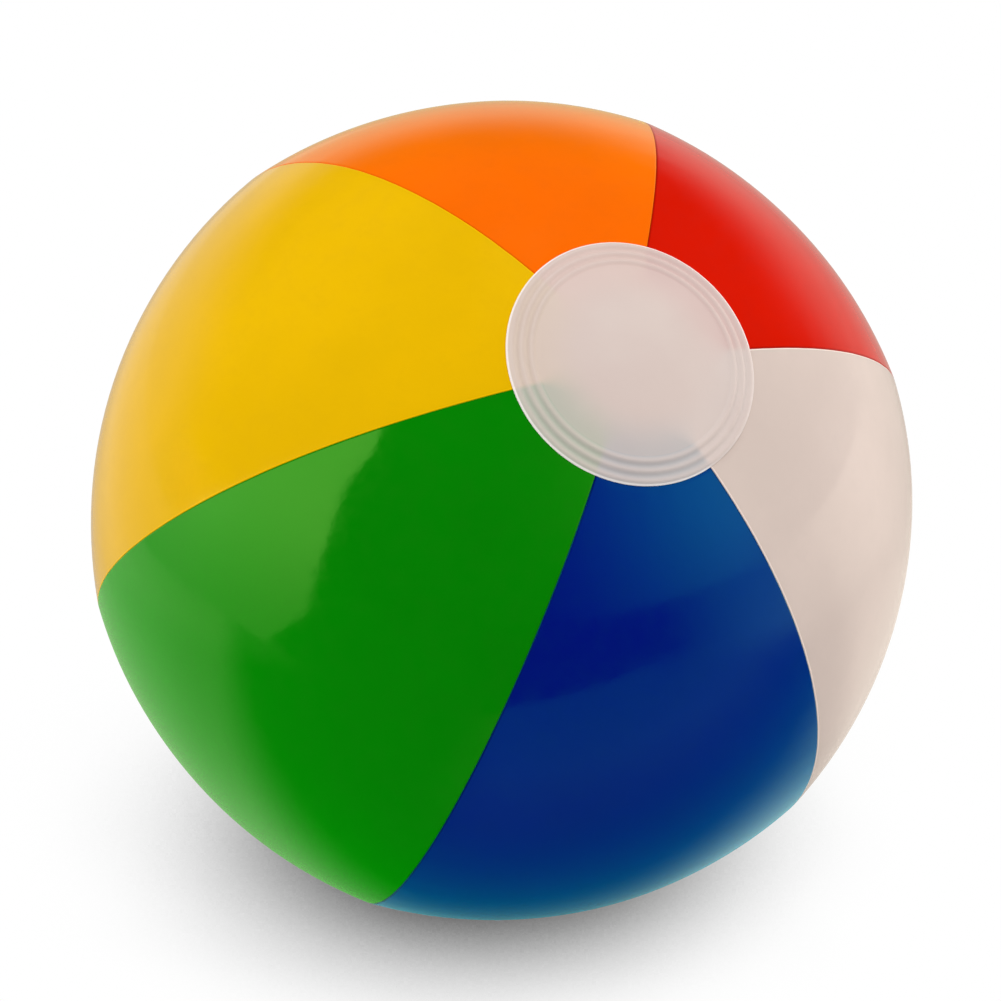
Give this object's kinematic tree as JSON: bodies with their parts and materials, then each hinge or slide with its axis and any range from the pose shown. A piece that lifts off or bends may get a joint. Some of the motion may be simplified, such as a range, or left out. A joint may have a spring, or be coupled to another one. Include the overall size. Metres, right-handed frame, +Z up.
{
  "type": "inflatable beach ball",
  "caption": "Round inflatable ball of coloured film panels welded pole to pole, with clear pole caps and a plugged push-in valve.",
  "frame": {"origin": "centre of the spot that the ball's weight flattens, on the surface it rests on", "axes": "+Z up; +Y along the valve's axis, out of the ball; the pole axis lies in the YZ plane, the front pole at 45 degrees up towards -Y"},
  "size_m": [0.2636, 0.2624, 0.2587],
  "materials": {
    "film_white": "glossy vinyl film, cream white",
    "film_red": "glossy vinyl film",
    "film_orange": "glossy vinyl film",
    "film_yellow": "glossy vinyl film",
    "film_green": "glossy vinyl film",
    "film_blue": "glossy vinyl film",
    "film_clear": "milky clear vinyl with a ribbed weld band",
    "valve_vinyl": "soft milky clear vinyl moulding"
  },
  "bodies": {
    "ball": {"panel_white": "film_white", "panel_red": "film_red", "panel_orange": "film_orange", "panel_yellow": "film_yellow", "panel_green": "film_green", "panel_blue": "film_blue", "front_cap": "film_clear", "rear_cap": "film_clear", "valve_flange": "valve_vinyl", "valve_cuff": "valve_vinyl"},
    "stem": {"valve_stem": "valve_vinyl"},
    "plug": {"valve_plug": "valve_vinyl", "valve_strap": "valve_vinyl"},
    "flap": {"check_flap": "valve_vinyl"}
  },
  "joints": [
    {"name": "stem_pull", "type": "slide", "parent": "ball", "child": "stem", "axis": [0, 1, 0], "range_m": [0, 0.013], "deforming": ["valve_cuff"]},
    {"name": "plug_swing", "type": "hinge", "parent": "stem", "child": "plug", "pos_m": [0, 0.13125, 0.13675], "axis": [1, 0, 0], "range_deg": [0, 150]},
    {"name": "flap_swing", "type": "hinge", "parent": "stem", "child": "flap", "pos_m": [0, 0.1156, 0.13265], "axis": [-1, 0, 0], "range_deg": [0, 60], "stiffness_Nm_per_rad": 0.0001}
  ]
}
